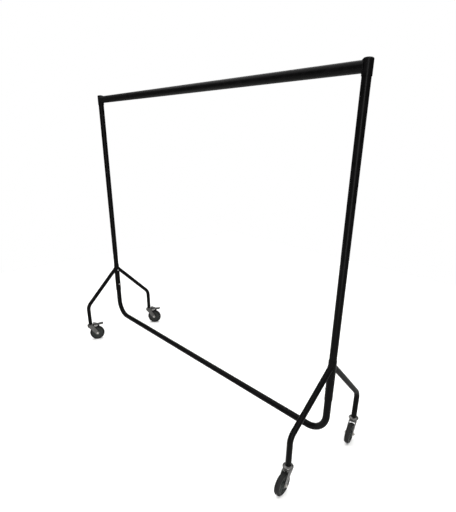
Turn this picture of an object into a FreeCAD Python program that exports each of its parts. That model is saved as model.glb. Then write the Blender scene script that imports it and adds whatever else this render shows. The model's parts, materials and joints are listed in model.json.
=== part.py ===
"""Rolling clothes rack: a knock-down steel tube frame on four swivel casters, two of them braked.

Frame: +X along the hanging rail, +Y towards the rear legs, +Z up. The origin is on the floor, midway between
the four caster stems. Millimetres. One STEP file is written for each node.
"""

import FreeCAD, Part
import math
import os

V = FreeCAD.Vector

# Frame, driving dimensions
SPAN = 1830.0               # between the axes of the two uprights, six feet
RAIL_Z = 1566.0             # axis of the hanging rail
BOTTOM_Z = 146.0            # axis of the bottom rail
STEM_Y = 241.0              # caster stems, in front of and behind the uprights
CROWN_Z = 495.0             # where the axes of a pair of legs meet the upright's axis
LEG_END_Z = 121.0           # lower ends of the legs

TUBE_WALL = 1.5
RAIL_R = 38.1 / 2
UPRIGHT_R = 31.8 / 2
LEG_R = 25.4 / 2
SOCKET_R = 35.0 / 2
SLIP = 0.1                  # radial gap between a tube and the one that it slides in

BOTTOM_BEND_R = 95.0
KNEE_BEND_R = 65.0
LEG_SLOPE = math.radians(45)
KNEE_Z = CROWN_Z - STEM_Y * math.tan(LEG_SLOPE)

COLLAR_Z = (1538.0, 1583.0)
RAIL_LIP = 8.0              # from an upright's axis to the rail's coped end
SOCKET_Z = (325.0, 515.0)
TUBE_STOP_Z = 420.0         # the upright and the bottom rail's end meet here, inside the socket
BUTT_GAP = 1.0
CAP_DOME = 8.5
CAP_SKIRT = 10.0
UPRIGHT_TOP_Z = COLLAR_Z[1] - CAP_SKIRT     # an upright is pushed home against its cap's skirt

# Screws and weld nuts that lock the slip joints
SCREW_R = 3.0
SCREW_HOLE_R = 3.3
SCREW_HEAD = (5.25, 3.2)    # radius, height
SCREW_LENGTH = 12.0
HEX_KEY_R = 2.3
NUT_ACROSS = 10.0
NUT_THICK = 5.0
UPPER_SCREW_Z = 476.0
LOWER_SCREW_Z = 372.0

BEAD = 2.6                  # how far a weld bead stands out from both tubes

# Casters. u runs from the stem towards the wheel, v across the wheel.
WHEEL_R = 50.0
TRAIL = 40.0
TYRE_HALF = 11.0
TYRE_INNER_R = 37.0
HUB_HALF = 13.5
HUB_RIM_HALF = 9.5
HUB_WEB_HALF = 5.5
HUB_BOSS_R = 11.0
SLEEVE_R = 6.5
AXLE_R = 4.0
RUN = 0.08                  # radial clearance of a running fit

CHEEK = (14.0, 16.5)        # inner and outer faces of a fork cheek
PLATE = 2.5
EYE_R = 11.5
FORK_HALF_U = 22.0
FORK_LOW_Z = 101.0
FORK_SHOULDER_Z = 109.0
FORK_TOP_Z = 111.5
FORK_BOSS_R = 20.0
KINGPIN_R = 6.0
BALL_RINGS = (              # ring radius, height of the balls' centres, ball radius, number
    (15.0, 113.1, 2.5, 12),
    (10.3, 107.1, 2.0, 10),
)
RACE_GAP = 0.1
SWIVEL_CAP_R = 23.0
SWIVEL_CAP_Z = (112.2, 114.7, 119.5)    # rim, race, top
LOWER_RACE = (13.5, 103.0, 105.2)       # radius, bottom, top
RIVET_HEAD = (8.0, 100.0)               # radius, bottom
STEM_R = 5.5
STEM_TOP_Z = 158.0

# Brake: a pedal on a cross pin, with a shoe that it presses on the tread
PIVOT = (34.0, 108.0)
PIVOT_PIN_R = 3.0
PIVOT_HEAD = (4.6, 1.6)
EAR_R = 7.0
PEDAL_PLATE = 2.0
PEDAL_HEEL = (18.0, 126.0)  # underside of the pedal beside the leg, where its deck starts to fall
PEDAL_KNEE = (50.0, 114.4)  # underside where the deck meets the tread
PEDAL_TIP = (86.0, 117.6)
PEDAL_HALF_V = 13.4
PEDAL_TIP_HALF_V = 17.0
LUG_U = (22.0, 46.0)        # where the pedal's lugs leave its deck
BRAKE_SWING = 10.0          # degrees from released to locked
SHOE_U = (44.0, 58.0)
SHOE_HALF_V = 9.0
SHOE_LOCKED_GAP = 0.4

# Each caster: its place as signs of X and Y, the heading of its trail from +X, and whether it has a brake
CASTERS = {
    "left_front": (-1, -1, 70.0, True),
    "left_rear": (-1, 1, 44.0, True),
    "right_front": (1, -1, 280.0, False),
    "right_rear": (1, 1, 285.0, False),
}

made = {}


def keep(name, *solids):
    """Stores the solids of one node."""
    made[name] = solids[0] if len(solids) == 1 else Part.makeCompound(list(solids))


def cylinder(radius, start, end):
    """A solid cylinder from one point to another."""
    axis = end - start
    return Part.makeCylinder(radius, axis.Length, start, axis)


def pipe(radius, start, end, wall=TUBE_WALL):
    """A straight length of tube."""
    return cylinder(radius, start, end).cut(cylinder(radius - wall, start, end))


def bend(radius, start, centre, normal, angle, wall=TUBE_WALL):
    """A length of tube bent about centre, from start, turning by angle degrees about normal."""
    along = normal.cross(start - centre)
    outer = Part.Face(Part.Wire(Part.makeCircle(radius, start, along)))
    inner = Part.Face(Part.Wire(Part.makeCircle(radius - wall, start, along)))
    return outer.revolve(centre, normal, angle).cut(inner.revolve(centre, normal, angle))


def joined(solids):
    """One solid out of lengths of tube that meet end to end."""
    return solids[0].multiFuse(solids[1:]).removeSplitter()


def turned(profile, axis=V(0, 0, 1)):
    """A solid of revolution about Z from (radius, z) points, or about Y from (radius, y) points."""
    if axis.z:
        points = [V(r, 0, z) for r, z in profile]
    else:
        points = [V(r, y, 0) for r, y in profile]
    wire = Part.makePolygon(points + points[:1])
    return Part.Face(wire).revolve(V(0, 0, 0), axis, 360)


def hexagon(across, thick, start, axis, bore):
    """A nut: a hexagonal prism from start along axis, with a bore."""
    corner = across / math.sqrt(3)
    points = [V(corner * math.cos(k * math.pi / 3), corner * math.sin(k * math.pi / 3), 0) for k in range(7)]
    prism = Part.Face(Part.makePolygon(points)).extrude(V(0, 0, thick))
    prism = prism.cut(Part.makeCylinder(bore, thick)) if bore else prism
    prism.Placement = FreeCAD.Placement(start, FreeCAD.Rotation(V(0, 0, 1), axis))
    return prism


def side_plate(points, v_low, v_high):
    """A plate in the u-z plane from (u, z) points, between two values of v."""
    wire = Part.makePolygon([V(u, v_low, z) for u, z in points + points[:1]])
    return Part.Face(wire).extrude(V(0, v_high - v_low, 0))


def tangent_point(point, centre, radius, side):
    """Where the tangent from a point touches a circle, left (1) or right (-1) of the line to its centre."""
    du, dz = centre[0] - point[0], centre[1] - point[1]
    distance = math.hypot(du, dz)
    lean = math.asin(radius / distance) * side
    length = math.sqrt(distance ** 2 - radius ** 2)
    heading = math.atan2(dz, du) + lean
    return (point[0] + length * math.cos(heading), point[1] + length * math.sin(heading))


def tapered_plate(corner_a, corner_b, eye, eye_r, v_low, v_high):
    """A plate from the edge a-b, tapering to a round eye."""
    near_a = tangent_point(corner_a, eye, eye_r, -1)
    near_b = tangent_point(corner_b, eye, eye_r, 1)
    blade = side_plate([corner_a, corner_b, near_b, eye, near_a], v_low, v_high)
    boss = cylinder(eye_r, V(eye[0], v_low, eye[1]), V(eye[0], v_high, eye[1]))
    return blade.fuse(boss).removeSplitter()


# ---- the tube frame ----

def screw(seat, inward):
    """A button-head screw whose head rests at seat, pointing inward, with a hexagon socket."""
    head_r, head_h = SCREW_HEAD
    shank = cylinder(SCREW_R, seat, seat + inward * SCREW_LENGTH)
    head = Part.makeCylinder(head_r, head_h, seat, inward * -1)
    crown = [e for e in head.Edges if abs((e.CenterOfMass - seat).dot(inward) + head_h) < 1e-6]
    head = head.makeFillet(head_h * 0.7, crown)
    key = hexagon(HEX_KEY_R * math.sqrt(3), head_h, seat - inward * (head_h + 1), inward, 0)
    return head.fuse(shank).cut(key)


def lock(side, z, outer_r, bore_r):
    """One screw, its weld nut and its clearance hole, on the inner face of a socket."""
    inward = V(-side, 0, 0)
    axis = V(side * SPAN / 2, 0, z)
    seat = axis + inward * (outer_r + 0.2)
    corner = NUT_ACROSS / math.sqrt(3)
    nut_r = math.sqrt(bore_r ** 2 - corner ** 2) - 0.1
    nut = hexagon(NUT_ACROSS, NUT_THICK, axis + inward * (nut_r - NUT_THICK), inward, SCREW_R + 0.02)
    hole = cylinder(SCREW_HOLE_R, axis, axis + inward * (outer_r + 5))
    return screw(seat, inward * -1), nut, hole


def leg(side, front):
    """A leg: a slanting run from the socket, a knee, and a short upright run down to the caster."""
    x = side * SPAN / 2
    knee = V(x, front * STEM_Y, KNEE_Z)
    tangent = KNEE_BEND_R * math.tan((math.pi / 2 - LEG_SLOPE) / 2)
    slant = V(0, front * math.cos(LEG_SLOPE), -math.sin(LEG_SLOPE))
    bend_start = knee - slant * tangent
    bend_end = knee - V(0, 0, tangent)
    centre = bend_end - V(0, front * KNEE_BEND_R, 0)
    run = pipe(LEG_R, V(x, 0, CROWN_Z), bend_start)
    knee_bend = bend(LEG_R, bend_start, centre, V(-front, 0, 0), 90 - math.degrees(LEG_SLOPE))
    foot = pipe(LEG_R, bend_end, V(x, front * STEM_Y, LEG_END_Z))
    return joined([run, knee_bend, foot])


def bead(tube_r, start, end, post_x, post_z, overrun=0.0):
    """A weld bead where a tube from start to end lands on a post. It reaches past the start by overrun."""
    foot, top = V(post_x, 0, post_z[0]), V(post_x, 0, post_z[1])
    along = (end - start).normalize()
    fillet = cylinder(tube_r + BEAD, start - along * overrun, end)
    fillet = fillet.common(cylinder(SOCKET_R + BEAD, foot, top))
    return fillet.cut(cylinder(tube_r, start, end)).cut(cylinder(SOCKET_R, foot, top))


def build_frame():
    """The welded and slip-jointed tube frame, its caps, screws and nuts."""
    half = SPAN / 2
    screws, nuts, beads = [], [], []
    sleeve_wall = SOCKET_R - UPRIGHT_R - SLIP
    rail = pipe(RAIL_R, V(RAIL_LIP - half, 0, RAIL_Z), V(half - RAIL_LIP, 0, RAIL_Z))
    for side, end in ((-1, "left"), (1, "right")):
        x = side * half
        rail = rail.cut(cylinder(SOCKET_R, V(x, 0, COLLAR_Z[0]), V(x, 0, RAIL_Z + RAIL_R)))
        lip = V(x - side * RAIL_LIP, 0, RAIL_Z)
        beads.append(bead(RAIL_R, lip, V(x - side * 60, 0, RAIL_Z), x, COLLAR_Z, BEAD))
        keep(f"top_collar_{end}", pipe(SOCKET_R, V(x, 0, COLLAR_Z[0]), V(x, 0, COLLAR_Z[1]), sleeve_wall))

        high_screw, high_nut, high_hole = lock(side, UPPER_SCREW_Z, SOCKET_R, UPRIGHT_R - TUBE_WALL)
        low_screw, low_nut, low_hole = lock(side, LOWER_SCREW_Z, SOCKET_R, UPRIGHT_R - TUBE_WALL)
        screws += [high_screw, low_screw]
        nuts += [high_nut, low_nut]

        upright = pipe(UPRIGHT_R, V(x, 0, TUBE_STOP_Z + BUTT_GAP), V(x, 0, UPRIGHT_TOP_Z))
        keep(f"upright_{end}", upright.cut(high_hole))
        socket = pipe(SOCKET_R, V(x, 0, SOCKET_Z[0]), V(x, 0, SOCKET_Z[1]), sleeve_wall)
        keep(f"socket_{end}", socket.cut(high_hole).cut(low_hole))
        keep(f"end_cap_{end}", end_cap(x))

        post = cylinder(SOCKET_R, V(x, 0, SOCKET_Z[0]), V(x, 0, SOCKET_Z[1]))
        for front, name in ((-1, "front"), (1, "rear")):
            keep(f"leg_{end}_{name}", leg(side, front).cut(post))
            slant = V(0, front * math.cos(LEG_SLOPE), -math.sin(LEG_SLOPE))
            start = V(x, 0, CROWN_Z)
            beads.append(bead(LEG_R, start, start + slant * 80, x, SOCKET_Z))
        keep(f"bottom_bend_{end}", bottom_bend(side).cut(low_hole))

    keep("top_rail", rail)
    straight = half - BOTTOM_BEND_R
    keep("bottom_rail", pipe(UPRIGHT_R, V(-straight, 0, BOTTOM_Z), V(straight, 0, BOTTOM_Z)))
    keep("joint_screws", *screws)
    keep("weld_nuts", *nuts)
    keep("weld_beads", *beads)


def bottom_bend(side):
    """An end of the bottom rail: a bend up from the straight run, and a run up into the socket."""
    half = SPAN / 2
    centre = V(side * (half - BOTTOM_BEND_R), 0, BOTTOM_Z + BOTTOM_BEND_R)
    turn = bend(UPRIGHT_R, centre - V(0, 0, BOTTOM_BEND_R), centre, V(0, -side, 0), 90)
    end = pipe(UPRIGHT_R, V(side * half, 0, centre.z), V(side * half, 0, TUBE_STOP_Z - BUTT_GAP))
    return joined([end, turn])


def end_cap(x):
    """A domed plug for the open top of a collar, with a hollow skirt that grips the bore."""
    top = COLLAR_Z[1]
    dome = Part.makeCylinder(SOCKET_R, CAP_DOME, V(x, 0, top))
    rim = [e for e in dome.Edges if abs(e.CenterOfMass.z - top - CAP_DOME) < 1e-6]
    dome = dome.makeFillet(CAP_DOME * 0.8, rim)
    skirt = pipe(UPRIGHT_R, V(x, 0, top - CAP_SKIRT), V(x, 0, top), 2.0)
    return dome.fuse(skirt)


# ---- the casters, in their own frame: the stem's axis at the origin, u along X, v along Y ----

def race_grooves():
    """The ball tracks, as rings to cut."""
    rings = []
    for ring_r, z, ball_r, count in BALL_RINGS:
        rings.append(Part.makeTorus(ring_r, ball_r + RACE_GAP, V(0, 0, z)))
    return Part.makeCompound(rings)


def stem():
    """The caster's stem and kingpin in one: a grip pin above, a rivet head below."""
    head_r, head_z = RIVET_HEAD
    race_z = LOWER_RACE[1]
    top = SWIVEL_CAP_Z[2]
    profile = [
        (0, head_z), (head_r - 1.5, head_z), (head_r, head_z + 1.5), (head_r, race_z), (KINGPIN_R, race_z),
        (KINGPIN_R, top), (STEM_R, top), (STEM_R, STEM_TOP_Z - 14), (STEM_R - 0.8, STEM_TOP_Z - 13),
        (STEM_R - 0.8, STEM_TOP_Z - 9), (STEM_R, STEM_TOP_Z - 8), (STEM_R, STEM_TOP_Z - 3),
        (STEM_R - 2, STEM_TOP_Z), (0, STEM_TOP_Z),
    ]
    return turned(profile)


def leg_insert():
    """The flanged plastic socket in the leg's open end, which holds the stem."""
    low, flange_top = SWIVEL_CAP_Z[2], LEG_END_Z
    body_r = LEG_R - TUBE_WALL - 0.05
    bore = STEM_R + 0.05
    top = STEM_TOP_Z + 4
    return turned([
        (bore, low), (LEG_R, low), (LEG_R, flange_top), (body_r, flange_top), (body_r, top - 2),
        (body_r - 1.5, top), (bore, top),
    ])


def swivel_cap():
    """The pressed upper race, a shallow dome with a turned-down rim that covers the balls."""
    rim_z, race_z, top_z = SWIVEL_CAP_Z
    outer = SWIVEL_CAP_R
    bore = KINGPIN_R + 0.02
    cap = turned([
        (bore, race_z), (outer - 2, race_z), (outer - 2, rim_z), (outer, rim_z), (outer, top_z - 5),
        (outer - 0.9, top_z - 3.4), (outer - 2.8, top_z - 2.4), (13.5, top_z), (bore, top_z),
    ])
    return cap.cut(race_grooves())


def lower_race():
    """The washer that carries the lower row of balls."""
    radius, low, high = LOWER_RACE
    bore = KINGPIN_R + 0.02
    return turned([(bore, low), (radius, low), (radius, high), (bore, high)]).cut(race_grooves())


def swivel_balls():
    """Both rows of balls."""
    balls = []
    for ring_r, z, ball_r, count in BALL_RINGS:
        for k in range(count):
            turn = 2 * math.pi * k / count
            balls.append(Part.makeSphere(ball_r, V(ring_r * math.cos(turn), ring_r * math.sin(turn), z)))
    return balls


def rounded_block(half_u, half_v, low, high, corner, top_edge):
    """A block with rounded upright corners and, where top_edge isn't 0, a rounded top edge."""
    block = Part.makeBox(2 * half_u, 2 * half_v, high - low, V(-half_u, -half_v, low))
    uprights = [e for e in block.Edges if e.BoundBox.ZLength > 1e-6]
    block = block.makeFillet(corner, uprights)
    if not top_edge:
        return block
    rim = [e for e in block.Edges if e.BoundBox.ZMin > high - 1e-6]
    return block.makeFillet(top_edge, rim)


def rib(v_face, side):
    """A pressed stiffening rib on a cheek: a raised bar with round ends and soft edges."""
    ends = ((3.0, 96.0), (27.0, 65.0))
    radius, height = 4.6, 1.2
    du, dz = ends[1][0] - ends[0][0], ends[1][1] - ends[0][1]
    length = math.hypot(du, dz)
    nu, nz = -dz / length * radius, du / length * radius
    corners = [(u + k * nu, z + k * nz) for u, z, k in
               ((*ends[0], 1), (*ends[1], 1), (*ends[1], -1), (*ends[0], -1))]
    bar = side_plate(corners, 0, height)
    for u, z in ends:
        bar = bar.fuse(cylinder(radius, V(u, 0, z), V(u, height, z)))
    bar = bar.removeSplitter()
    crest = [e for e in bar.Edges if e.BoundBox.YMin > height - 1e-6]
    bar = bar.makeFillet(0.9, crest)
    if side < 0:
        bar = bar.mirror(V(0, 0, 0), V(0, 1, 0))
    bar.translate(V(0, side * v_face, 0))
    return bar


def fork(braked):
    """The pressed fork: a crown with ball tracks, two tapering cheeks, and ears where it carries a brake."""
    inner, outer = CHEEK
    crown = rounded_block(FORK_HALF_U, outer, FORK_LOW_Z, FORK_SHOULDER_Z, 9.0, 3.0)
    hollow = rounded_block(FORK_HALF_U - PLATE, inner, FORK_LOW_Z - 1, FORK_SHOULDER_Z - PLATE, 6.5, 0)
    crown = crown.cut(hollow)
    boss_low = FORK_SHOULDER_Z - PLATE
    boss = turned([
        (0, boss_low + PLATE), (FORK_BOSS_R - 1, boss_low + PLATE), (FORK_BOSS_R, boss_low + PLATE),
        (FORK_BOSS_R, FORK_TOP_Z - 1), (FORK_BOSS_R - 1, FORK_TOP_Z), (0, FORK_TOP_Z),
    ])
    body = crown.fuse(boss)
    underside = Part.makeCylinder(inner - 1, PLATE, V(0, 0, boss_low))
    body = body.cut(underside)
    eye = (TRAIL, WHEEL_R)
    top = FORK_LOW_Z + 2
    for side in (-1, 1):
        low, high = sorted((side * inner, side * outer))
        cheek = tapered_plate((-FORK_HALF_U + 3, top), (FORK_HALF_U - 2, top), eye, EYE_R, low, high)
        body = body.fuse(cheek).fuse(rib(outer, side))
        if braked:
            ear = tapered_plate((8, FORK_LOW_Z), (8, FORK_SHOULDER_Z - 3), PIVOT, EAR_R, low, high)
            body = body.fuse(ear)
    u, z = eye
    body = body.cut(cylinder(AXLE_R + 0.1, V(u, -30, z), V(u, 30, z)))
    body = body.cut(Part.makeCylinder(KINGPIN_R + RUN, 30, V(0, 0, 95)))
    if braked:
        u, z = PIVOT
        body = body.cut(cylinder(PIVOT_PIN_R + 0.02, V(u, -30, z), V(u, 30, z)))
    return body.cut(race_grooves()).removeSplitter()


def tyre():
    """The solid rubber tyre, with a crowned tread and round shoulders."""
    rim, wall = V(TYRE_INNER_R, TYRE_HALF - 1.5, 0), V(WHEEL_R - 6.5, TYRE_HALF, 0)
    bulge, shoulder = V(WHEEL_R - 3.4, TYRE_HALF - 0.9, 0), V(WHEEL_R - 1.4, TYRE_HALF - 3.4, 0)
    far = [V(p.x, -p.y, 0) for p in (rim, wall, bulge, shoulder)]
    section = Part.Wire([
        Part.LineSegment(rim, wall).toShape(),
        Part.Arc(wall, bulge, shoulder).toShape(),
        Part.Arc(shoulder, V(WHEEL_R, 0, 0), far[3]).toShape(),
        Part.Arc(far[3], far[2], far[1]).toShape(),
        Part.LineSegment(far[1], far[0]).toShape(),
        Part.LineSegment(far[0], rim).toShape(),
    ])
    ring = Part.Face(section).revolve(V(0, 0, 0), V(0, 1, 0), 360)
    ring.translate(V(TRAIL, 0, WHEEL_R))
    return ring


def wheel_hub():
    """The moulded wheel centre: rim, dished web with ribs, and a long boss."""
    rim, web, boss = HUB_RIM_HALF, HUB_WEB_HALF, HUB_HALF
    bore, boss_r, outer = SLEEVE_R + RUN, HUB_BOSS_R, TYRE_INNER_R
    side = [(bore, boss), (boss_r - 0.8, boss), (boss_r, boss - 0.8), (boss_r + 1.2, web + 0.8),
            (boss_r + 2.2, web), (outer - 5.5, web), (outer - 4, web + 1.5), (outer - 3.2, rim - 0.6),
            (outer - 2.6, rim), (outer, rim)]
    mirrored = [(r, -y) for r, y in reversed(side)]
    hub = turned(side + mirrored, V(0, 1, 0))
    for k in range(6):
        turn = 2 * math.pi * (k + 0.5) / 6
        spoke = Part.makeBox(outer - 4 - boss_r, 2 * (web + 2.2), 2.6, V(boss_r - 0.5, -web - 2.2, -1.3))
        spoke.rotate(V(0, 0, 0), V(0, 1, 0), math.degrees(turn))
        hub = hub.fuse(spoke)
    hub = hub.removeSplitter()
    hub.translate(V(TRAIL, 0, WHEEL_R))
    return hub


def axle_sleeve():
    """The steel tube that the hub turns on, held between the cheeks."""
    half = CHEEK[0]
    sleeve = pipe(SLEEVE_R, V(TRAIL, -half, WHEEL_R), V(TRAIL, half, WHEEL_R), SLEEVE_R - AXLE_R - 0.1)
    return sleeve


def axle_bolt():
    """A hexagon-head bolt through cheeks and sleeve."""
    face = CHEEK[1]
    head = hexagon(13.0, 5.0, V(TRAIL, -face, WHEEL_R), V(0, -1, 0), 0)
    shank = cylinder(AXLE_R, V(TRAIL, -face, WHEEL_R), V(TRAIL, face + 8.5, WHEEL_R))
    return head.fuse(shank)


def axle_nut():
    """The axle's lock nut, with a round collar over its plastic ring."""
    face = CHEEK[1]
    nut = hexagon(13.0, 5.0, V(TRAIL, face, WHEEL_R), V(0, 1, 0), AXLE_R + 0.02)
    collar = pipe(5.6, V(TRAIL, face + 5, WHEEL_R), V(TRAIL, face + 7, WHEEL_R), 5.6 - AXLE_R - 0.02)
    return nut.fuse(collar)


def pivot_pin():
    """The riveted cross pin of the brake."""
    u, z = PIVOT
    face = CHEEK[1]
    head_r, head_h = PIVOT_HEAD
    pin = cylinder(PIVOT_PIN_R, V(u, -face, z), V(u, face, z))
    for side in (-1, 1):
        head = Part.makeCylinder(head_r, head_h, V(u, side * face, z), V(0, side, 0))
        rim = [e for e in head.Edges if abs(abs(e.CenterOfMass.y) - face - head_h) < 1e-6]
        pin = pin.fuse(head.makeFillet(head_h * 0.7, rim))
    return pin


def pedal():
    """The pressed pedal: a sloping deck with lugs on the pin, and a tread that widens to round corners."""
    knee_u, knee_z = PEDAL_KNEE
    fall = math.atan2(PEDAL_HEEL[1] - knee_z, knee_u - PEDAL_HEEL[0])
    rise = math.atan2(PEDAL_TIP[1] - knee_z, PEDAL_TIP[0] - knee_u)
    wide, narrow = PEDAL_TIP_HALF_V, PEDAL_HALF_V

    run = math.dist(PEDAL_HEEL, PEDAL_KNEE)
    deck = Part.makeBox(run, 2 * narrow, PEDAL_PLATE, V(-run, -narrow, 0))
    deck.rotate(V(0, 0, 0), V(0, 1, 0), math.degrees(fall))

    length = math.dist(PEDAL_KNEE, PEDAL_TIP)
    outline = [V(0, -narrow, 0), V(length * 0.5, -wide, 0), V(length, -wide, 0), V(length, wide, 0),
               V(length * 0.5, wide, 0), V(0, narrow, 0)]
    tread = Part.Face(Part.makePolygon(outline + outline[:1])).extrude(V(0, 0, PEDAL_PLATE))
    corners = [e for e in tread.Edges if e.BoundBox.ZLength > 1e-6 and e.BoundBox.XMin > length - 1e-6]
    tread = tread.makeFillet(7.0, corners)
    for k in range(3):
        u = length * (0.42 + 0.17 * k)
        ridge = cylinder(1.1, V(u, -wide + 6, PEDAL_PLATE), V(u, wide - 6, PEDAL_PLATE))
        tread = tread.fuse(ridge)
    tread.rotate(V(0, 0, 0), V(0, 1, 0), -math.degrees(rise))

    body = deck.fuse(tread)
    body.translate(V(knee_u, 0, knee_z))
    lug_top = [(u, knee_z + (knee_u - u) * math.tan(fall) + 0.6) for u in LUG_U]
    for side in (-1, 1):
        v_low, v_high = sorted((side * (narrow - PEDAL_PLATE), side * narrow))
        body = body.fuse(tapered_plate(lug_top[0], lug_top[1], PIVOT, EAR_R - 1.5, v_low, v_high))
    u, z = PIVOT
    return body.cut(cylinder(PIVOT_PIN_R + RUN, V(u, -30, z), V(u, 30, z))).removeSplitter()


def brake_shoe():
    """The block under the pedal. Its lower face is cut to the tread in the locked position."""
    low, high = SHOE_U
    u, z = PIVOT
    block = Part.makeBox(high - low, 2 * SHOE_HALF_V, 40, V(low, -SHOE_HALF_V, WHEEL_R + 30))
    wheel = cylinder(WHEEL_R + SHOE_LOCKED_GAP, V(TRAIL, -30, WHEEL_R), V(TRAIL, 30, WHEEL_R))
    block = block.cut(wheel)
    block.rotate(V(u, 0, z), V(0, 1, 0), -BRAKE_SWING)
    high_z = PEDAL_HEEL[1] + 20
    outline = [PEDAL_HEEL, PEDAL_KNEE, PEDAL_TIP, (PEDAL_TIP[0], high_z), (PEDAL_HEEL[0], high_z)]
    return block.cut(side_plate(outline, -30, 30))


def place(shape, caster):
    """Turns a caster's piece to its heading and moves it under its leg."""
    side, front, heading, braked = CASTERS[caster]
    placed = shape.copy()
    placed.rotate(V(0, 0, 0), V(0, 0, 1), heading)
    placed.translate(V(side * SPAN / 2, front * STEM_Y, 0))
    return placed


def build_casters():
    """The four casters. Small hidden pieces that are alike share a node."""
    common = {
        "stem": stem(), "swivel_cap": swivel_cap(), "axle_sleeve": axle_sleeve(),
        "axle_bolt": axle_bolt(), "axle_nut": axle_nut(), "wheel_hub": wheel_hub(), "tyre": tyre(),
    }
    brake = {"pivot_pin": pivot_pin(), "brake_pedal": pedal(), "brake_shoe": brake_shoe()}
    forks = {braked: fork(braked) for braked in (False, True)}
    insert, race, balls = leg_insert(), lower_race(), swivel_balls()
    for caster, (side, front, heading, braked) in CASTERS.items():
        pieces = {**common, "fork": forks[braked], **(brake if braked else {})}
        for name, shape in pieces.items():
            keep(f"{name}_{caster}", place(shape, caster))
    keep("leg_inserts", *[place(insert, caster) for caster in CASTERS])
    keep("lower_races", *[place(race, caster) for caster in CASTERS])
    keep("swivel_balls", *[place(ball, caster) for caster in CASTERS for ball in balls])


def main():
    """Builds every node, says how it came out, and writes it."""
    build_frame()
    build_casters()
    os.makedirs("parts", exist_ok=True)
    for name, shape in sorted(made.items()):
        shape.exportStep(f"parts/{name}.step")
        volume = shape.Volume / 1000
        print(f"{name:26s} solids {len(shape.Solids):3d}  valid {shape.isValid()}  volume {volume:9.2f} cm3")
    print(len(made), "nodes")


main()
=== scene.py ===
"""Rolling clothes rack: its finishes, fine pieces, floor, lights and camera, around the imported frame.

Metres, +X along the hanging rail, +Y towards the rear legs, +Z up, origin on the floor between the casters.
"""

import json
import logging
import math
from collections.abc import Callable
from dataclasses import dataclass, field
from enum import Enum
from typing import ClassVar

import bpy
from mathutils import Matrix, Vector


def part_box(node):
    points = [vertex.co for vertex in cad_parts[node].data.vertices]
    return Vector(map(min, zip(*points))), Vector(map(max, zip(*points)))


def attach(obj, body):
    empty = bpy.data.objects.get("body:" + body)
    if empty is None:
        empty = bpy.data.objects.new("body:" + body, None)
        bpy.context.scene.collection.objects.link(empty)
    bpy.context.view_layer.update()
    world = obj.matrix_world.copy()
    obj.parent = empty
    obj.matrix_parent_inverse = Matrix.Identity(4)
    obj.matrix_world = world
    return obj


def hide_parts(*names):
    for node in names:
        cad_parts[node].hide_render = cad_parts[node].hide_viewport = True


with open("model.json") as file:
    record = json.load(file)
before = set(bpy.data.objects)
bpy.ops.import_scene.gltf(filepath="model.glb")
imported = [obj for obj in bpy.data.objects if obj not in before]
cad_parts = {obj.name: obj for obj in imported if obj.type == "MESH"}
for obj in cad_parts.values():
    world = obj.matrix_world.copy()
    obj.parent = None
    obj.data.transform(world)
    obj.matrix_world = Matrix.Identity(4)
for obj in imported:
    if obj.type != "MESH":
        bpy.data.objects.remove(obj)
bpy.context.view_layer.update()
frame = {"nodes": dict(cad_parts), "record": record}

MM = 0.001
NEARLY_SQUARE = 0.9             # a face faces an axis when its normal lies at least this much along it
BEVEL_STEPS = 2                 # flats across a rounded edge
HAIR = 1e-6                     # two heights closer than this are the same
log = logging.getLogger("clothes_rack")


# ---- finishes ----

def linear(hex_colour: str, alpha: float = 1.0) -> tuple[float, float, float, float]:
    """Turns an sRGB hex colour into the linear colour that shaders read.

    Args:
        hex_colour: six hex digits, with or without a leading #.
        alpha: the fourth value of the result.

    Returns:
        Linear red, green and blue, and alpha.
    """
    digits = hex_colour.lstrip("#")
    channels = (int(digits[k:k + 2], 16) / 255 for k in (0, 2, 4))
    red, green, blue = (c / 12.92 if c <= 0.04045 else ((c + 0.055) / 1.055) ** 2.4 for c in channels)
    return red, green, blue, alpha


def add_node(tree: bpy.types.NodeTree, kind: str, settings: dict | None = None, **sockets) -> bpy.types.Node:
    """Adds one shader node, with its settings, its socket values and its links.

    Args:
        tree: the node tree that it goes in.
        kind: the node's type name, without the "ShaderNode" at its front.
        settings: properties of the node itself.
        **sockets: values or output sockets for its inputs. An underscore stands for a space.

    Returns:
        The new node.
    """
    node = tree.nodes.new("ShaderNode" + kind)
    for name, value in (settings or {}).items():
        setattr(node, name, value)
    for name, value in sockets.items():
        key = name.replace("_", " ")
        if isinstance(value, bpy.types.NodeSocket):
            tree.links.new(value, node.inputs[key])
        else:
            node.inputs[key].default_value = value
    return node


class Slot(Enum):
    """The record's material slots, and the floor."""

    TUBE = "black_powder_coat"
    CAP = "black_plastic"
    SCREW = "zinc_screws"
    PRESSING = "zinc_pressings"
    STEEL = "bright_steel"
    INSERT = "insert_nylon"
    HUB = "hub_plastic"
    TREAD = "tread_rubber"
    PEDAL = "pedal_steel"
    SHOE = "shoe_rubber"
    FLOOR = "floor"


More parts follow.
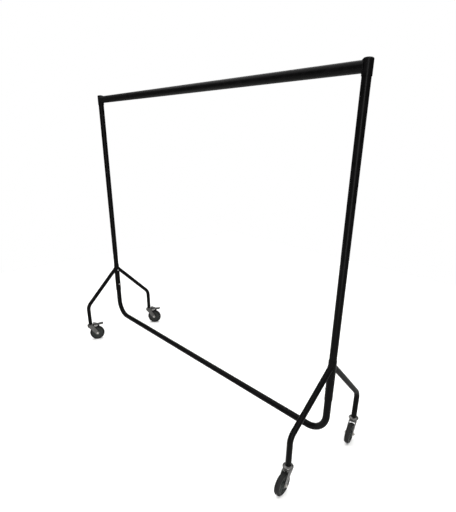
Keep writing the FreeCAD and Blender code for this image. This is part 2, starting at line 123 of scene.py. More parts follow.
@dataclass(frozen=True)
class Finish:
    """A surface: two colours that drift into each other, a gloss that drifts too, and a fine relief."""

    PATCH_DETAIL: ClassVar[float] = 5.0
    PATCH_TWIST: ClassVar[float] = 0.5
    PATCH_SPREAD: ClassVar[tuple[float, float]] = (0.3, 0.7)    # where most of the noise's values lie
    RELIEF_DETAIL: ClassVar[float] = 2.0
    EDGE_SAMPLES: ClassVar[int] = 4

    name: str
    colour: str
    second_colour: str
    roughness: float
    metallic: float = 0.0
    specular: float = 0.5
    drift_mm: float = 12.0          # width of one patch of the second colour
    drift_range: tuple[float, float] = (0.42, 0.75)
    gloss_drift: float = 0.06
    relief_mm: float = 0.8          # width of one grain of the relief
    relief_depth_mm: float = 0.02
    relief_stretch: tuple[float, float, float] = (1.0, 1.0, 1.0)
    edge_mm: float = 0.0            # radius that the eye sees on sharp edges

    def build(self) -> bpy.types.Material:
        """Makes the material.

        Returns:
            The material, ready to go on a mesh.
        """
        material = bpy.data.materials.new(self.name)
        material.use_nodes = True
        tree = material.node_tree
        tree.nodes.clear()
        coords = add_node(tree, "TexCoord").outputs["Object"]
        patches = add_node(tree, "TexNoise", Vector=coords, Scale=1 / (self.drift_mm * MM),
                           Detail=self.PATCH_DETAIL, Distortion=self.PATCH_TWIST)
        ramp = add_node(tree, "ValToRGB", Fac=patches.outputs["Fac"])
        ramp.color_ramp.elements[0].position, ramp.color_ramp.elements[1].position = self.drift_range
        ramp.color_ramp.elements[0].color = linear(self.colour)
        ramp.color_ramp.elements[1].color = linear(self.second_colour)
        least, most = self.PATCH_SPREAD
        gloss = add_node(tree, "MapRange", Value=patches.outputs["Fac"], From_Min=least, From_Max=most,
                         To_Min=self.roughness - self.gloss_drift, To_Max=self.roughness + self.gloss_drift)
        shader = add_node(tree, "BsdfPrincipled", Base_Color=ramp.outputs["Color"],
                          Roughness=gloss.outputs["Result"], Metallic=self.metallic,
                          Normal=self.relief(tree, coords))
        if not self.metallic:
            shader.inputs["Specular IOR Level"].default_value = self.specular
        add_node(tree, "OutputMaterial", Surface=shader.outputs["BSDF"])
        return material

    def relief(self, tree: bpy.types.NodeTree, coords: bpy.types.NodeSocket) -> bpy.types.NodeSocket:
        """Adds the fine relief over softened edges.

        Args:
            tree: the material's node tree.
            coords: the object's coordinates, in metres.

        Returns:
            The normal that the shader reads.
        """
        stretched = add_node(tree, "Mapping", Vector=coords, Scale=self.relief_stretch)
        grain = add_node(tree, "TexNoise", Vector=stretched.outputs["Vector"],
                         Scale=1 / (self.relief_mm * MM), Detail=self.RELIEF_DETAIL)
        bump = add_node(tree, "Bump", Height=grain.outputs["Fac"], Strength=1.0,
                        Distance=self.relief_depth_mm * MM)
        if self.edge_mm:
            edge = add_node(tree, "Bevel", {"samples": self.EDGE_SAMPLES}, Radius=self.edge_mm * MM)
            tree.links.new(edge.outputs["Normal"], bump.inputs["Normal"])
        return bump.outputs["Normal"]


@dataclass(frozen=True)
class PowderCoat(Finish):
    """Polyester powder baked on steel tube: half glossy, with orange peel and a drifting gloss."""

    drift_mm: float = 45.0
    relief_mm: float = 2.2          # about twice as coarse as the real peel, so that it shows
    relief_depth_mm: float = 0.035


@dataclass(frozen=True)
class Moulded(Finish):
    """Injection-moulded plastic: a fine spark-eroded grain, and gloss that drifts where the melt flowed."""

    relief_mm: float = 0.7
    edge_mm: float = 0.4


@dataclass(frozen=True)
class ZincPlate(Finish):
    """Electroplated zinc on pressed steel: grey and cloudy, with the press's drag lines running upright."""

    metallic: float = 1.0
    drift_mm: float = 7.0
    gloss_drift: float = 0.08
    relief_mm: float = 0.5
    relief_depth_mm: float = 0.012
    relief_stretch: tuple[float, float, float] = (1.0, 1.0, 0.12)
    edge_mm: float = 0.5


@dataclass(frozen=True)
class TurnedSteel(Finish):
    """Bright turned and rolled steel: fairly sharp reflections over machining lines, a little stained."""

    metallic: float = 1.0
    drift_mm: float = 5.0
    relief_mm: float = 0.6
    relief_depth_mm: float = 0.008
    relief_stretch: tuple[float, float, float] = (0.15, 0.15, 1.0)
    edge_mm: float = 0.25


@dataclass(frozen=True)
class Rubber(Finish):
    """Moulded rubber: matt, with dust rubbed into its pores in pale uneven patches."""

    drift_mm: float = 16.0
    drift_range: tuple[float, float] = (0.5, 0.85)
    gloss_drift: float = 0.08
    relief_mm: float = 0.9
    relief_depth_mm: float = 0.03


@dataclass(frozen=True)
class FloorPaint(Finish):
    """Pale matt floor paint, with the roller's faint stipple and a slow drift in tone."""

    drift_mm: float = 600.0
    gloss_drift: float = 0.03
    relief_mm: float = 6.0
    relief_depth_mm: float = 0.05


FINISHES: dict[Slot, Finish] = {
    # near black, with a soft highlight down the middle of each tube and duller lengths
    Slot.TUBE: PowderCoat("polyester_powder_coat_baked", "#050505", "#0a090a", 0.34, specular=0.035),
    # a shade duller than the tubes, so that the caps read as plastic
    Slot.CAP: Moulded("polyethylene_moulded", "#060607", "#0b0b0c", 0.44, specular=0.045),
    # small bright points inside the dark sockets
    Slot.SCREW: TurnedSteel("zinc_plated_screw_steel", "#a4a5a6", "#8f8f8c", 0.35),
    # mid grey casters with cloudy plating
    Slot.PRESSING: ZincPlate("zinc_plated_steel_pressed", "#595857", "#434241", 0.34),
    # the brightest points of the rack, at the axles
    Slot.STEEL: TurnedSteel("bright_steel_turned", "#a3a19d", "#7d7a75", 0.32),
    # a dark flange between leg and caster
    Slot.INSERT: Moulded("nylon_moulded", "#0a0a0b", "#121213", 0.45, specular=0.2),
    # dark wheel faces, a little lighter and greener than the treads
    Slot.HUB: Moulded("polypropylene_moulded", "#242725", "#1a1d1b", 0.50, specular=0.2),
    # near-black treads with paler dust
    Slot.TREAD: Rubber("thermoplastic_rubber_moulded", "#0e0e0e", "#1d1c1b", 0.64, specular=0.15),
    # pedals a little darker than the forks, with a satin sheen on the tread
    Slot.PEDAL: ZincPlate("dark_passivated_steel_pressed", "#525150", "#3e3d3c", 0.38),
    # dull black under the pedals
    Slot.SHOE: Rubber("brake_rubber_moulded", "#0d0d0d", "#1c1c1b", 0.75, specular=0.2),
    Slot.FLOOR: FloorPaint("matt_floor_paint_rolled", "#f4f4f3", "#f0f0ef", 0.9),
}


class Palette:
    """Every material, made when it is first asked for."""

    def __init__(self) -> None:
        """Starts with no materials."""
        self.made: dict[Slot, bpy.types.Material] = {}

    def material(self, slot: Slot) -> bpy.types.Material:
        """Gives the material of a slot.

        Args:
            slot: the slot.

        Returns:
            Its material.
        """
        if slot not in self.made:
            self.made[slot] = FINISHES[slot].build()
        return self.made[slot]

    def dress(self, body: str) -> None:
        """Puts its slot's material on every CAD node of a body.

        Args:
            body: the body's name.
        """
        nodes = frame["record"]["behaviour"]["bodies"][body]
        slots = {part["node"]: Slot(part["material_slot"]) for part in frame["record"]["subparts"]}
        for node in nodes:
            mesh = frame["nodes"][node].data
            mesh.materials.clear()
            mesh.materials.append(self.material(slots[node]))
        log.info("dressed %d nodes of %s", len(nodes), body)

    def place(self, piece: bpy.types.Object, name: str, matrix: Matrix, body: str,
              slot: Slot) -> bpy.types.Object:
        """Copies a modelled piece to its place, and gives it a body and its slot's material.

        Args:
            piece: the model, about its own origin.
            name: the copy's name.
            matrix: where the copy goes.
            body: the CAD body that it rides on.
            slot: the slot that it takes its finish from.

        Returns:
            The copy, with its place in its vertices.
        """
        copy = piece.copy()
        copy.data = piece.data.copy()
        copy.name = copy.data.name = name
        bpy.context.scene.collection.objects.link(copy)
        copy.matrix_world = matrix
        make_active(copy)
        bpy.ops.object.transform_apply(location=True, rotation=True, scale=True)
        copy.data.materials.clear()
        copy.data.materials.append(self.material(slot))
        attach(copy, body)
        log.info("placed %s on %s", name, body)
        return copy


# ---- modelling ----

def make_active(piece: bpy.types.Object) -> None:
    """Selects one piece and nothing else.

    Args:
        piece: the piece.
    """
    bpy.ops.object.select_all(action="DESELECT")
    piece.select_set(True)
    bpy.context.view_layer.objects.active = piece


def pick_faces(piece: bpy.types.Object, wanted: Callable[[bpy.types.MeshPolygon], bool]) -> None:
    """Opens a piece in edit mode with some of its faces selected.

    Args:
        piece: the piece.
        wanted: says of each face whether it is to be selected.
    """
    make_active(piece)
    bpy.ops.object.mode_set(mode="EDIT")
    bpy.ops.mesh.select_mode(type="FACE")
    bpy.ops.mesh.select_all(action="DESELECT")
    bpy.ops.object.mode_set(mode="OBJECT")
    for face in piece.data.polygons:
        face.select = wanted(face)
    bpy.ops.object.mode_set(mode="EDIT")


def disc(name: str, sides: int, radius: float, low: float, high: float) -> bpy.types.Object:
    """Starts a piece from an upright prism on the Z axis.

    Args:
        name: the piece's name.
        sides: how many sides the prism has.
        radius: from its axis to its corners.
        low: height of its foot.
        high: height of its top.

    Returns:
        The piece, in object mode.
    """
    bpy.ops.object.select_all(action="DESELECT")
    bpy.ops.mesh.primitive_cylinder_add(vertices=sides, radius=radius, depth=high - low,
                                        location=(0, 0, (low + high) / 2))
    piece = bpy.context.active_object
    piece.name = name
    bpy.ops.object.transform_apply(location=True, rotation=True, scale=True)
    return piece


def step_face(piece: bpy.types.Object, up: float, steps: tuple[tuple[float, float], ...]) -> None:
    """Shapes an end face by insets, each followed by a move along Z.

    Args:
        piece: the piece.
        up: 1 for its top face, -1 for its foot.
        steps: the width of each inset, and the move after it.
    """
    edge = max(up * corner.co.z for corner in piece.data.vertices)
    pick_faces(piece, lambda face: (up * face.normal.z > NEARLY_SQUARE
                                    and up * face.center.z > edge - HAIR))
    for inset, move in steps:
        bpy.ops.mesh.inset(thickness=inset, depth=0.0)
        bpy.ops.transform.translate(value=(0, 0, move))
    bpy.ops.object.mode_set(mode="OBJECT")


def soften(piece: bpy.types.Object, width: float, smooth: float = 35.0) -> None:
    """Rounds a piece's sharp edges and smooths its shading.

    Args:
        piece: the piece.
        width: width of the bevel.
        smooth: faces that meet at less than this many degrees are shaded as one.
    """
    make_active(piece)
    bevel = piece.modifiers.new("round_edges", "BEVEL")
    bevel.width = width
    bevel.segments = BEVEL_STEPS
    bevel.limit_method = "ANGLE"
    bpy.ops.object.modifier_apply(modifier=bevel.name)
    bpy.ops.object.shade_smooth_by_angle(angle=math.radians(smooth))


def join(pieces: list[bpy.types.Object]) -> bpy.types.Object:
    """Makes one piece out of several.

    Args:
        pieces: the pieces. The first gives its name.

    Returns:
        The one piece.
    """
    make_active(pieces[0])
    for piece in pieces:
        piece.select_set(True)
    bpy.ops.object.join()
    return pieces[0]


def discard(*models: bpy.types.Object) -> None:
    """Removes models once their copies are in place."""
    for model in models:
        bpy.data.objects.remove(model)


def axes_matrix(across: Vector, up: Vector, along: Vector, place: Vector) -> Matrix:
    """Builds the matrix that stands a model at a place.

    Args:
        across: where the model's X axis points.
        up: where its Y axis points.
        along: where its Z axis points.
        place: where its origin goes.

    Returns:
        The matrix.
    """
    return Matrix.Translation(place) @ Matrix((across, up, along)).transposed().to_4x4()


# ---- the tube frame ----

@dataclass
class WeldBead:
    """A rippled weld around the seam where a tube lands on a round post."""

    name: str
    tube_r: float
    post_r: float
    slope: float                # angle of the tube below level, in radians
    lip: float = 0.0            # least distance of the seam from the post's axis
    bead_r: float = 2.3 * MM
    rings: int = 64
    sides: int = 10             # around the bead's own section
    ripple: float = 0.80        # size of every second ring

    def seam(self, turn: float) -> float:
        """Finds how far along the tube's axis its seam is.

        Args:
            turn: the angle around the tube, from its level radius.

        Returns:
            The distance from the post's axis.
        """
        side = self.tube_r * math.cos(turn)
        reach = math.sqrt(max(self.post_r ** 2 - side ** 2, 0.0))
        rise = self.tube_r * math.sin(turn) * math.sin(self.slope)
        return max((reach - rise) / math.cos(self.slope), self.lip)

    def build(self) -> bpy.types.Object:
        """Makes the bead about the post's axis, with the tube along Z.

        Returns:
            The bead.
        """
        bpy.ops.object.select_all(action="DESELECT")
        bpy.ops.mesh.primitive_torus_add(major_radius=self.tube_r, minor_radius=self.bead_r,
                                         major_segments=self.rings, minor_segments=self.sides)
        bead = bpy.context.active_object
        bead.name = self.name
        corners = [corner.co.copy() for corner in bead.data.vertices]
        bpy.ops.object.mode_set(mode="EDIT")
        bpy.ops.mesh.select_mode(type="VERT")
        for ring in range(self.rings):
            turn = 2 * math.pi * ring / self.rings
            bpy.ops.mesh.select_all(action="DESELECT")
            bpy.ops.object.mode_set(mode="OBJECT")
            for place, corner in zip(corners, bead.data.vertices):
                around = math.remainder(math.atan2(place.y, place.x) - turn, 2 * math.pi)
                corner.select = abs(around) < 0.5 * math.pi / self.rings
            bpy.ops.object.mode_set(mode="EDIT")
            centre = (self.tube_r * math.cos(turn), self.tube_r * math.sin(turn), 0)
            size = self.ripple if ring % 2 else 1.0
            bpy.ops.transform.resize(value=(size, size, size), center_override=centre)
            bpy.ops.transform.translate(value=(0, 0, self.seam(turn)))
        bpy.ops.object.mode_set(mode="OBJECT")
        bpy.ops.object.shade_smooth()
        return bead


@dataclass
class EndCap:
    """A domed plastic plug with a skirt below it, and the small dimple of its moulding gate."""

    radius: float
    height: float
    skirt: float = 10.0 * MM
    skirt_step: float = 1.8 * MM
    rim: float = 2.6 * MM       # height of its upright edge
    dome: tuple[tuple[float, float], ...] = (       # share of the radius moved in, share of the dome gained
        (0.05, 0.34), (0.09, 0.24), (0.15, 0.20), (0.21, 0.13), (0.24, 0.07), (0.16, 0.02))
    gate: tuple[float, float] = (0.4 * MM, -0.35 * MM)
    sides: int = 64
    edge: float = 0.3 * MM

    def build(self) -> bpy.types.Object:
        """Makes the cap on the Z axis, with the tube's end at height 0.

        Returns:
            The cap.
        """
        cap = disc("cap_model", self.sides, self.radius, 0.0, self.rim)
        gain = self.height - self.rim
        step_face(cap, 1, tuple((inset * self.radius, rise * gain) for inset, rise in self.dome))
        step_face(cap, 1, (self.gate,))
        pick_faces(cap, lambda face: face.normal.z < -NEARLY_SQUARE)
        bpy.ops.mesh.inset(thickness=self.skirt_step, depth=0.0)
        bpy.ops.mesh.extrude_region_move(TRANSFORM_OT_translate={"value": (0, 0, -self.skirt)})
        bpy.ops.object.mode_set(mode="OBJECT")
        soften(cap, self.edge)
        return cap


@dataclass
class TubeFrame:
    """The welded tube frame, with its weld beads and end caps."""

    palette: Palette
    rail_bead_r: float = 3.0 * MM
    leg_bead_r: float = 2.1 * MM
    leg_slope: float = math.radians(45)
    crown_below_socket_top: float = 20.0 * MM

    def build(self) -> None:
        """Dresses the frame's nodes and adds its fine pieces."""
        self.palette.dress("frame")
        self.weld_rail()
        self.weld_legs()
        self.cap_collars()

    def post_x(self, end: str) -> float:
        """Gives the X of the axis of an end's upright."""
        low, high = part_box(f"upright_{end}")
        return (low[0] + high[0]) / 2

    def half_width(self, node: str) -> float:
        """Gives half the size of a node across the rack."""
        low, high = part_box(node)
        return (high[1] - low[1]) / 2

    def weld_rail(self) -> None:
        """Welds the rail's two ends to their collars."""
        low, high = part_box("top_rail")
        axis_z = (low[2] + high[2]) / 2
        lip = low[0] - self.post_x("left")
        model = WeldBead("rail_bead_model", self.half_width("top_rail"), self.half_width("top_collar_left"),
                         0.0, lip, self.rail_bead_r)
        bead = model.build()
        for end, inward in (("left", 1), ("right", -1)):
            stand = axes_matrix(Vector((0, inward, 0)), Vector((0, 0, 1)), Vector((inward, 0, 0)),
                                Vector((self.post_x(end), 0, axis_z)))
            weld = self.palette.place(bead, f"rail_weld_{end}", stand, "frame", Slot.TUBE)
            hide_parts("weld_beads")
        discard(bead)

    def weld_legs(self) -> None:
        """Welds the tops of the four legs to their sockets."""
        low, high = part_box("leg_left_front")
        tube_r = (high[0] - low[0]) / 2
        model = WeldBead("leg_bead_model", tube_r, self.half_width("socket_left"), self.leg_slope,
                         bead_r=self.leg_bead_r, rings=48)
        bead = model.build()
        fall, reach = math.sin(self.leg_slope), math.cos(self.leg_slope)
        for end in ("left", "right"):
            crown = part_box(f"socket_{end}")[1][2] - self.crown_below_socket_top
            for name, way in (("front", -1), ("rear", 1)):
                stand = axes_matrix(Vector((-way, 0, 0)), Vector((0, way * fall, reach)),
                                    Vector((0, way * reach, -fall)), Vector((self.post_x(end), 0, crown)))
                self.palette.place(bead, f"leg_weld_{end}_{name}", stand, "frame", Slot.TUBE)
        discard(bead)

    def cap_collars(self) -> None:
        """Closes the tops of both collars."""
        collar_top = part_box("top_collar_left")[1][2]
        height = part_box("end_cap_left")[1][2] - collar_top
        cap = EndCap(self.half_width("top_collar_left"), height).build()
        for end in ("left", "right"):
            stand = Matrix.Translation((self.post_x(end), 0, collar_top))
            plug = self.palette.place(cap, f"domed_cap_{end}", stand, "frame", Slot.CAP)
            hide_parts(f"end_cap_{end}")
        discard(cap)


# ---- the casters ----

def joint_row(name: str) -> dict:
    """Gives the record's row for one joint."""
    return next(row for row in frame["record"]["behaviour"]["joints"] if row["name"] == name)


class Station(Enum):
    """The four casters."""

    LEFT_FRONT = "left_front"
    LEFT_REAR = "left_rear"
    RIGHT_FRONT = "right_front"
    RIGHT_REAR = "right_rear"


@dataclass
class AxleSet:
    """A caster's axle: a flanged hexagon bolt, and a lock nut with a collar."""

    corner_r: float = 7.5 * MM      # from the axis to the hexagon's corners
    flange_r: float = 8.0 * MM
    flange: float = 1.3 * MM
    head: float = 5.0 * MM
    shank_r: float = 4.0 * MM
    shank: float = 41.5 * MM
    collar_r: float = 5.6 * MM
    collar: float = 2.2 * MM
    chamfer: tuple[tuple[float, float], ...] = (
        (0.9 * MM, 0.5 * MM), (1.3 * MM, 0.0), (0.4 * MM, -0.35 * MM))
    flange_slope: tuple[float, float] = (0.9 * MM, 0.45 * MM)
    shank_point: tuple[float, float] = (0.7 * MM, -0.6 * MM)
    collar_crown: tuple[tuple[float, float], ...] = ((0.9 * MM, 0.5 * MM), (0.5 * MM, -0.3 * MM))
    collar_sunk: float = 0.4 * MM   # how deep the collar starts inside the hexagon
    hexagon_start: float = 0.8      # where the hexagon starts inside the flange, as a share of its height
    flange_sides: int = 40
    round_sides: int = 32
    hexagon_edge: float = 0.25 * MM
    round_edge: float = 0.2 * MM
    shank_edge: float = 0.15 * MM

    def hexagon(self, name: str) -> bpy.types.Object:
        """Makes the hexagon and the flange under it, standing on height 0.

        Args:
            name: the piece's name.

        Returns:
            The piece.
        """
        prism = disc(name, 6, self.corner_r, self.flange * self.hexagon_start, self.head)
        step_face(prism, 1, self.chamfer)
        soften(prism, self.hexagon_edge)
        flange = disc(name + "_flange", self.flange_sides, self.flange_r, 0.0, self.flange)
        step_face(flange, 1, (self.flange_slope,))
        soften(flange, self.round_edge)
        return join([prism, flange])

    def bolt(self) -> bpy.types.Object:
        """Makes the bolt.

        Returns:
            The bolt, with its head above height 0 and its shank below.
        """
        shank = disc("shank", self.round_sides, self.shank_r, -self.shank, self.flange)
        step_face(shank, -1, (self.shank_point,))
        soften(shank, self.shank_edge)
        return join([self.hexagon("bolt_model"), shank])

    def nut(self) -> bpy.types.Object:
        """Makes the lock nut.

        Returns:
            The nut, standing on height 0.
        """
        ring = disc("nut_collar", self.round_sides, self.collar_r, self.head - self.collar_sunk,
                    self.head + self.collar)
        step_face(ring, 1, self.collar_crown)
        soften(ring, self.round_edge)
        return join([self.hexagon("nut_model"), ring])


@dataclass
class BrakePedal:
    """A pressed pedal with a folded rim, three ridges on its tread, and two lugs down to its pin.

    It is modelled with X along the trail, Y across the wheel and Z up, from the underside of its knee.
    """

    plate: float = 2.0 * MM
    deck: tuple[float, float] = (32.0 * MM, 11.6 * MM)      # run and fall, from the heel to the knee
    tread: tuple[float, float] = (36.0 * MM, 3.2 * MM)      # run and rise, from the knee to the tip
    half: float = 13.4 * MM
    tip_half: float = 17.0 * MM
    corner: float = 7.0 * MM
    rim: tuple[float, float] = (1.7 * MM, 2.4 * MM)         # thickness and depth of the folded rim
    ridge_r: float = 1.2 * MM
    ridges: tuple[float, ...] = (0.42, 0.59, 0.76)          # places along the tread
    pin: tuple[float, float] = (-16.0 * MM, -6.4 * MM)      # the pin's axis, seen from the knee
    lug_r: float = 5.5 * MM
    lug_hole: float = 3.15 * MM
    lug_spread: float = 1.9                                 # width of a lug's top, over its eye's
    corner_steps: int = 6
    ridge_inset: float = 5.0 * MM                           # from a ridge's end to the deck's side
    ridge_sides: int = 16
    ridge_round: float = 0.6                                # width of a ridge's rounding, over its radius
    ridge_smooth: float = 60.0
    lug_sides: int = 32
    edge: float = 0.4 * MM
    lug_edge: float = 0.2 * MM

    def build(self) -> bpy.types.Object:
        """Makes the pedal.

        Returns:
            The pedal, with the underside of its knee at the origin.
        """
        pressing = self.pressing()
        self.fold_rim(pressing)
        soften(pressing, self.edge)
        lugs = [self.lug(self.half), self.lug(self.plate - self.half)]
        return join([pressing, *[self.ridge(share) for share in self.ridges], *lugs])

    def pressing(self) -> bpy.types.Object:
        """Makes the bent plate.

        Returns:
            The plate, with round corners at its tip.
        """
        run, fall = self.deck
        reach, rise = (side / 2 for side in self.tread)
        bpy.ops.object.select_all(action="DESELECT")
        bpy.ops.mesh.primitive_cube_add(size=1.0, location=(-run / 2, 0, self.plate / 2),
                                        scale=(run, 2 * self.half, self.plate))
        plate = bpy.context.active_object
        plate.name = "pedal_model"
        bpy.ops.object.transform_apply(location=True, rotation=True, scale=True)
        pick_faces(plate, lambda face: face.normal.x < -NEARLY_SQUARE)
        bpy.ops.transform.translate(value=(0, 0, fall))
        bpy.ops.object.mode_set(mode="OBJECT")
        pick_faces(plate, lambda face: face.normal.x > NEARLY_SQUARE)
        bpy.ops.mesh.extrude_region_move(TRANSFORM_OT_translate={"value": (reach, 0, rise)})
        bpy.ops.transform.resize(value=(1, self.tip_half / self.half, 1), center_override=(reach, 0, rise))
        bpy.ops.mesh.extrude_region_move(TRANSFORM_OT_translate={"value": (reach, 0, rise)})
        bpy.ops.mesh.select_mode(type="EDGE")
        bpy.ops.mesh.select_all(action="DESELECT")
        bpy.ops.object.mode_set(mode="OBJECT")
        corners = plate.data.vertices
        for edge in plate.data.edges:
            first, second = (corners[k].co for k in edge.vertices)
            at_tip = min(first.x, second.x) > 2 * reach - 10 * HAIR
            edge.select = at_tip and abs(first.z - second.z) > 100 * HAIR
        bpy.ops.object.mode_set(mode="EDIT")
        bpy.ops.mesh.bevel(offset=self.corner, segments=self.corner_steps)
        bpy.ops.object.mode_set(mode="OBJECT")
        return plate

    def fold_rim(self, plate: bpy.types.Object) -> None:
        """Folds a rim down around the plate.

        Args:
            plate: the plate.
        """
        wall, depth = self.rim
        pick_faces(plate, lambda face: face.normal.z < -0.7)
        bpy.ops.mesh.extrude_region_move(TRANSFORM_OT_translate={"value": (0, 0, -depth)})
        bpy.ops.mesh.inset(thickness=wall, depth=0.0)
        bpy.ops.mesh.extrude_region_move(TRANSFORM_OT_translate={"value": (0, 0, depth)})
        bpy.ops.object.mode_set(mode="OBJECT")

    def ridge(self, share: float) -> bpy.types.Object:
        """Makes one ridge across the tread.

        Args:
            share: its place, as a share of the tread's length from the knee.

        Returns:
            The ridge.
        """
        reach, rise = self.tread
        half = self.half - self.ridge_inset
        bar = disc("ridge", self.ridge_sides, self.ridge_r, -half, half)
        soften(bar, self.ridge_r * self.ridge_round, self.ridge_smooth)
        bar.location = (reach * share, 0, rise * share + self.plate)
        bar.rotation_euler = (math.radians(90), 0, 0)
        make_active(bar)
        bpy.ops.object.transform_apply(location=True, rotation=True, scale=True)
        return bar

    def lug(self, outer: float) -> bpy.types.Object:
        """Makes one lug, from its eye on the pin up to the deck.

        Args:
            outer: the larger Y of its two faces.

        Returns:
            The lug.
        """
        run, fall = self.deck
        slope = math.atan2(fall, run)
        pin_x, pin_z = self.pin
        height = (-pin_z - pin_x * math.tan(slope)) * math.cos(slope) + self.plate / 2
        lug = disc("lug", self.lug_sides, self.lug_r, 0.0, self.plate)
        pick_faces(lug, lambda face: abs(face.normal.z) > NEARLY_SQUARE)
        bpy.ops.mesh.inset(thickness=self.lug_r - self.lug_hole, depth=0.0)
        bpy.ops.mesh.bridge_edge_loops()
        bpy.ops.object.mode_set(mode="OBJECT")
        pick_faces(lug, lambda face: face.normal.y > 0.35 and face.center.y > 0)
        bpy.ops.mesh.extrude_region_move(TRANSFORM_OT_translate={"value": (0, height - self.lug_r, 0)})
        bpy.ops.transform.resize(value=(self.lug_spread, 0, 1), center_override=(0, height, 0))
        bpy.ops.object.mode_set(mode="OBJECT")
        soften(lug, self.lug_edge)
        lug.matrix_world = (Matrix.Translation((pin_x, outer, pin_z)) @ Matrix.Rotation(slope, 4, "Y")
                            @ Matrix.Rotation(math.radians(90), 4, "X"))
        make_active(lug)
        bpy.ops.object.transform_apply(location=True, rotation=True, scale=True)
        return lug


@dataclass
class CasterSet:
    """The four casters, with the fine pieces of their axles and brakes."""

    palette: Palette
    axle: AxleSet = field(default_factory=AxleSet)
    brake: BrakePedal = field(default_factory=BrakePedal)
    cheek: float = 2.5 * MM         # thickness of a fork's cheek

    def build(self) -> None:
        """Dresses every caster's nodes and fits its axle, and its pedal where it has one."""
        bolt, nut, pedal = self.axle.bolt(), self.axle.nut(), self.brake.build()
        bodies = frame["record"]["behaviour"]["bodies"]
        for station in Station:
            for kind in ("caster", "wheel", "pedal"):
                if f"{kind}_{station.value}" in bodies:
                    self.palette.dress(f"{kind}_{station.value}")
            self.fit_axle(station, bolt, nut)
            if f"pedal_{station.value}" in bodies:
                self.fit_pedal(station, pedal)
        discard(bolt, nut, pedal)

    def fit_pedal(self, station: Station, pedal: bpy.types.Object) -> None:
        """Hangs a pedal on its pin.

        Args:
            station: which caster.
            pedal: the pedal's model.
        """
        hinge = joint_row(f"brake_{station.value}")
        across, up = Vector(hinge["axis"]), Vector((0, 0, 1))
        trail = across.cross(up)
        pin_x, pin_z = self.brake.pin
        knee = Vector(hinge["pos_m"]) - trail * pin_x - up * pin_z
        piece = self.palette.place(pedal, f"ridged_pedal_{station.value}",
                                   axes_matrix(trail, across, up, knee),
                                   f"pedal_{station.value}", Slot.PEDAL)
        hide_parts(f"brake_pedal_{station.value}")

    def fit_axle(self, station: Station, bolt: bpy.types.Object, nut: bpy.types.Object) -> None:
        """Puts a bolt and a nut against the outsides of a fork.

        Args:
            station: which caster.
            bolt: the bolt's model.
            nut: the nut's model.
        """
        spin = joint_row(f"spin_{station.value}")
        axis, hub = Vector(spin["axis"]), Vector(spin["pos_m"])
        face = self.cheek_face(station, axis)
        for model, name, way in ((bolt, "axle_bolt", -1), (nut, "axle_nut", 1)):
            out = axis * way
            level = Vector((0, 0, 1)).cross(out)
            stand = axes_matrix(level, out.cross(level), out, hub + out * face)
            piece = self.palette.place(model, f"flanged_{name}_{station.value}", stand,
                                       f"caster_{station.value}", Slot.STEEL)
            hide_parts(f"{name}_{station.value}")

    def cheek_face(self, station: Station, axis: Vector) -> float:
        """Finds how far the outside of a fork's cheek is from the middle of its wheel.

        Args:
            station: which caster.
            axis: the axle's direction.

        Returns:
            The distance.
        """
        sleeve = frame["nodes"][f"axle_sleeve_{station.value}"].data.vertices
        along = [axis.dot(corner.co) for corner in sleeve]
        return (max(along) - min(along)) / 2 + self.cheek


# ---- floor, light and camera ----

@dataclass(frozen=True)
class Softbox:
    """A rectangular studio light, aimed at a point and not seen itself."""

    name: str
    place: tuple[float, float, float]
    target: tuple[float, float, float]
    width: float
    height: float
    radiance: float

    def build(self) -> None:
        """Adds the light."""
        light = bpy.data.lights.new(self.name, "AREA")
        light.shape = "RECTANGLE"
        light.size = self.width
        light.size_y = self.height
        light.energy = self.radiance * math.pi * self.width * self.height
        lamp = bpy.data.objects.new(self.name, light)
        bpy.context.scene.collection.objects.link(lamp)
        lamp.location = self.place
        lamp.rotation_euler = (Vector(self.target) - Vector(self.place)).to_track_quat("-Z", "Y").to_euler()
        lamp.visible_camera = False


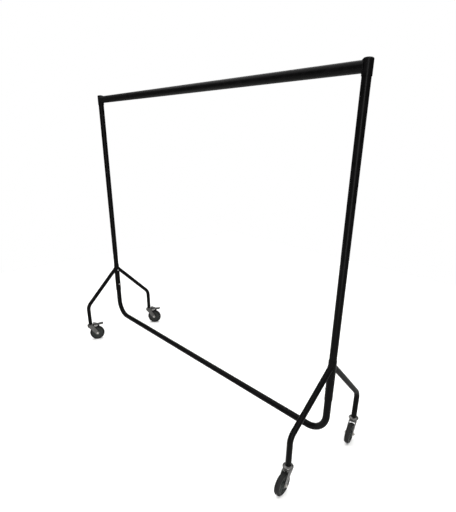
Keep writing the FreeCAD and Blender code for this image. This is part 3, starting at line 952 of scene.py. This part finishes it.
@dataclass
class Studio:
    """A pale floor, soft light from above and from beside the camera, and a white surround."""

    palette: Palette
    floor_size: tuple[float, float] = (6.0, 6.0)
    surround: float = 0.25
    boxes: tuple[Softbox, ...] = (
        Softbox("top_softbox", (-0.6, 0.5, 4.6), (-0.6, 0.5, 0.0), 9.0, 9.0, 2.4),
        Softbox("camera_softbox", (2.7, -2.3, 1.1), (0, 0, 0.8), 0.55, 2.6, 24.0),
    )

    def build(self) -> None:
        """Adds the floor, the lights and the surround."""
        bpy.ops.object.select_all(action="DESELECT")
        bpy.ops.mesh.primitive_plane_add(size=1.0)
        floor = bpy.context.active_object
        floor.name = "studio_floor"
        floor.scale = (*self.floor_size, 1.0)
        bpy.ops.object.transform_apply(location=True, rotation=True, scale=True)
        floor.data.materials.append(self.palette.material(Slot.FLOOR))
        for box in self.boxes:
            box.build()
        self.light_surround()
        log.info("studio with %d softboxes", len(self.boxes))

    def light_surround(self) -> None:
        """Makes the surround white to the eye and a soft grey as a light."""
        world = bpy.data.worlds.new("white_surround")
        bpy.context.scene.world = world
        world.use_nodes = True
        tree = world.node_tree
        tree.nodes.clear()
        seen = add_node(tree, "LightPath").outputs["Is Camera Ray"]
        strength = add_node(tree, "MapRange", Value=seen, To_Min=self.surround, To_Max=1.0)
        back = add_node(tree, "Background", Color=linear("#ffffff"), Strength=strength.outputs["Result"])
        add_node(tree, "OutputWorld", Surface=back.outputs["Background"])
        bpy.context.scene.view_settings.view_transform = "Standard"


@dataclass
class Viewpoint:
    """The camera: where it stands, and how it is turned about the object's upright axis and its own."""

    place: Vector = field(default_factory=lambda: Vector((1.7294, -1.3191, 1.3503)))
    azimuth: float = math.radians(47.825)
    elevation: float = math.radians(22.016)
    roll: float = math.radians(0.572)
    sensor: float = 36.0
    lens: float = 29.15
    shift: float = 0.0986

    def build(self) -> None:
        """Adds the camera and makes it the scene's own."""
        back = Vector((math.sin(self.azimuth) * math.cos(self.elevation),
                       -math.cos(self.azimuth) * math.cos(self.elevation), math.sin(self.elevation)))
        level = Vector((math.cos(self.azimuth), math.sin(self.azimuth), 0.0))
        right = level * math.cos(self.roll) + back.cross(level) * math.sin(self.roll)
        up = back.cross(right)
        camera = bpy.data.cameras.new("studio_camera")
        camera.sensor_fit = "VERTICAL"
        camera.sensor_height = self.sensor
        camera.lens = self.lens
        camera.shift_y = self.shift
        stand = bpy.data.objects.new("studio_camera", camera)
        bpy.context.scene.collection.objects.link(stand)
        stand.matrix_world = Matrix.Translation(self.place) @ Matrix((right, up, back)).transposed().to_4x4()
        bpy.context.scene.camera = stand


def main() -> None:
    """Builds the looks, the studio and the camera."""
    logging.basicConfig(level=logging.INFO, format="%(name)s: %(message)s")
    palette = Palette()
    TubeFrame(palette).build()
    CasterSet(palette).build()
    Studio(palette).build()
    Viewpoint().build()


if __name__ == "__main__":
    main()
